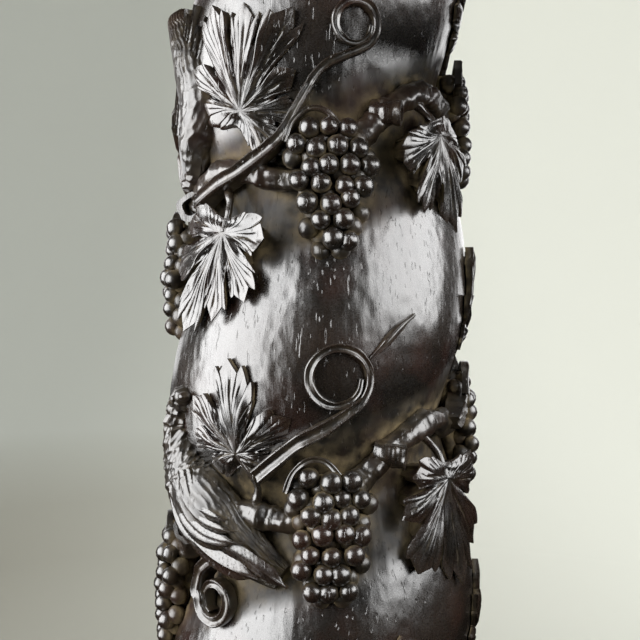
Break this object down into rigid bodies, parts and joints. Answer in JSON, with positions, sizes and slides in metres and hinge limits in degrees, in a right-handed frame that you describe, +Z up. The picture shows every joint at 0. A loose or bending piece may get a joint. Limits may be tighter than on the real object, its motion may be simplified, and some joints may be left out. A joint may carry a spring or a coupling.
{
  "type": "carved column",
  "caption": "Twisted wooden column length, carved in one piece with a fruiting vine and birds in its spiral hollow, between plain turned ends",
  "frame": {"origin": "centre of the flat underside, on the column's axis", "axes": "+Z up along the column's axis, -Y towards the picture's viewpoint, +X to its right"},
  "size_m": [0.2248, 0.2272, 0.63],
  "materials": {
    "carved_wood": "very dark waxed hardwood, satin on the ridges, dusty in the hollows"
  },
  "bodies": {
    "root": {"carved_column": "carved_wood"}
  },
  "joints": []
}
